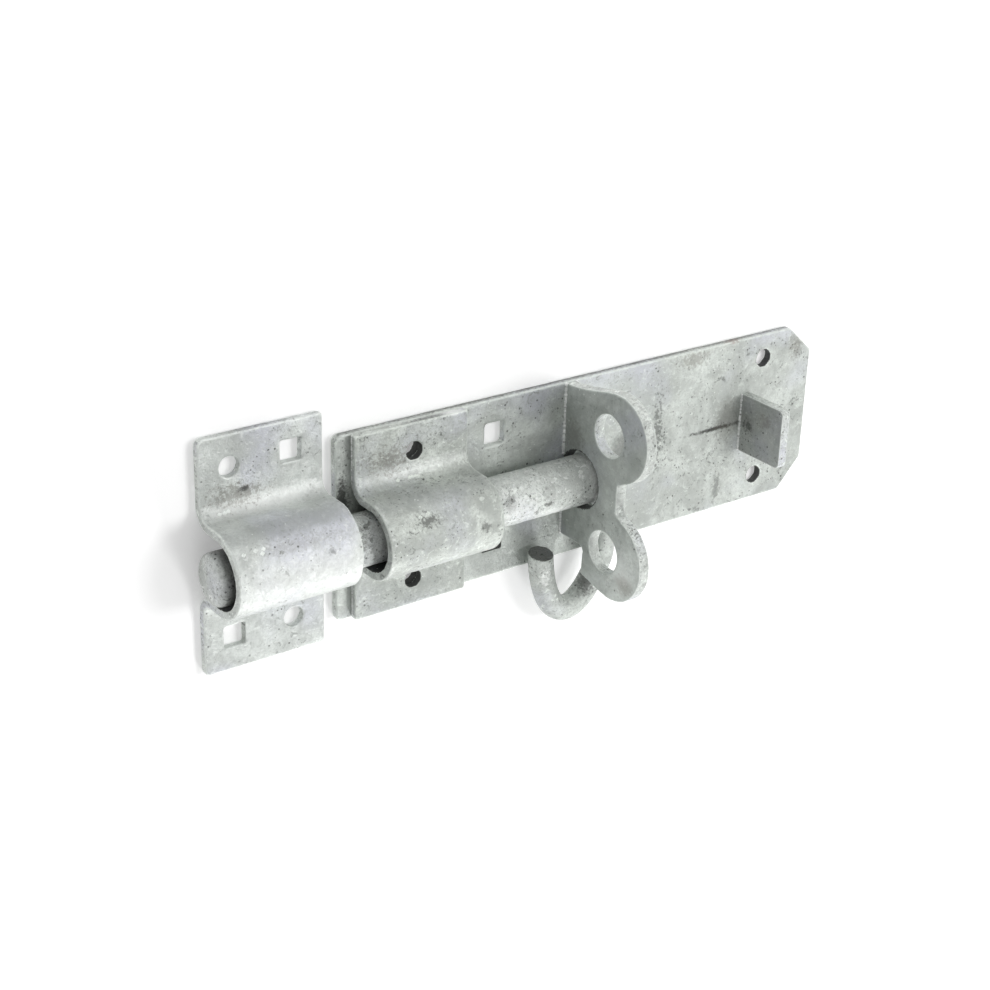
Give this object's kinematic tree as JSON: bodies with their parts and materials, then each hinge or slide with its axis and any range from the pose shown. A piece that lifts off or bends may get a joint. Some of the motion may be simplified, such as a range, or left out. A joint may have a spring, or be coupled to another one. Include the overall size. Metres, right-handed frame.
{
  "type": "galvanised padbolt with keep",
  "caption": "Surface-mounted sliding padbolt: back plate, guide, round bolt with hooked handle, two-lobed lock plate, stop tab and separate keep.",
  "frame": {"origin": "middle of the back plate's rear face", "axes": "+X along the bolt from the keep to the stop tab, +Y across the plate away from the handle, +Z out from the gate"},
  "size_m": [0.2366, 0.0903, 0.0431],
  "materials": {
    "zinc": "hot-dip galvanised, mottled",
    "zinc_bead": "hot-dip galvanised over weld"
  },
  "bodies": {
    "plate": {"back_plate": "zinc", "guide": "zinc", "lock_plate": "zinc", "stop_tab": "zinc", "lock_weld_upper": "zinc_bead", "lock_weld_lower": "zinc_bead", "lock_weld_rear_upper": "zinc_bead", "lock_weld_rear_lower": "zinc_bead", "tab_weld": "zinc_bead", "tab_weld_rear": "zinc_bead"},
    "bolt": {"bolt_bar": "zinc"},
    "handle": {"handle": "zinc", "handle_weld": "zinc_bead"},
    "keep": {"keep": "zinc"}
  },
  "joints": [
    {"name": "bolt_slide", "type": "slide", "parent": "plate", "child": "bolt", "axis": [1, 0, 0], "range_m": [0, 0.056]},
    {"name": "handle_turn", "type": "hinge", "parent": "bolt", "child": "handle", "pos_m": [0, 0, 0.0116], "axis": [-1, 0, 0], "range_deg": [0, 192]},
    {"name": "keep_slide", "type": "slide", "parent": "plate", "child": "keep", "axis": [-1, 0, 0], "range_m": [0, 0.05]}
  ]
}
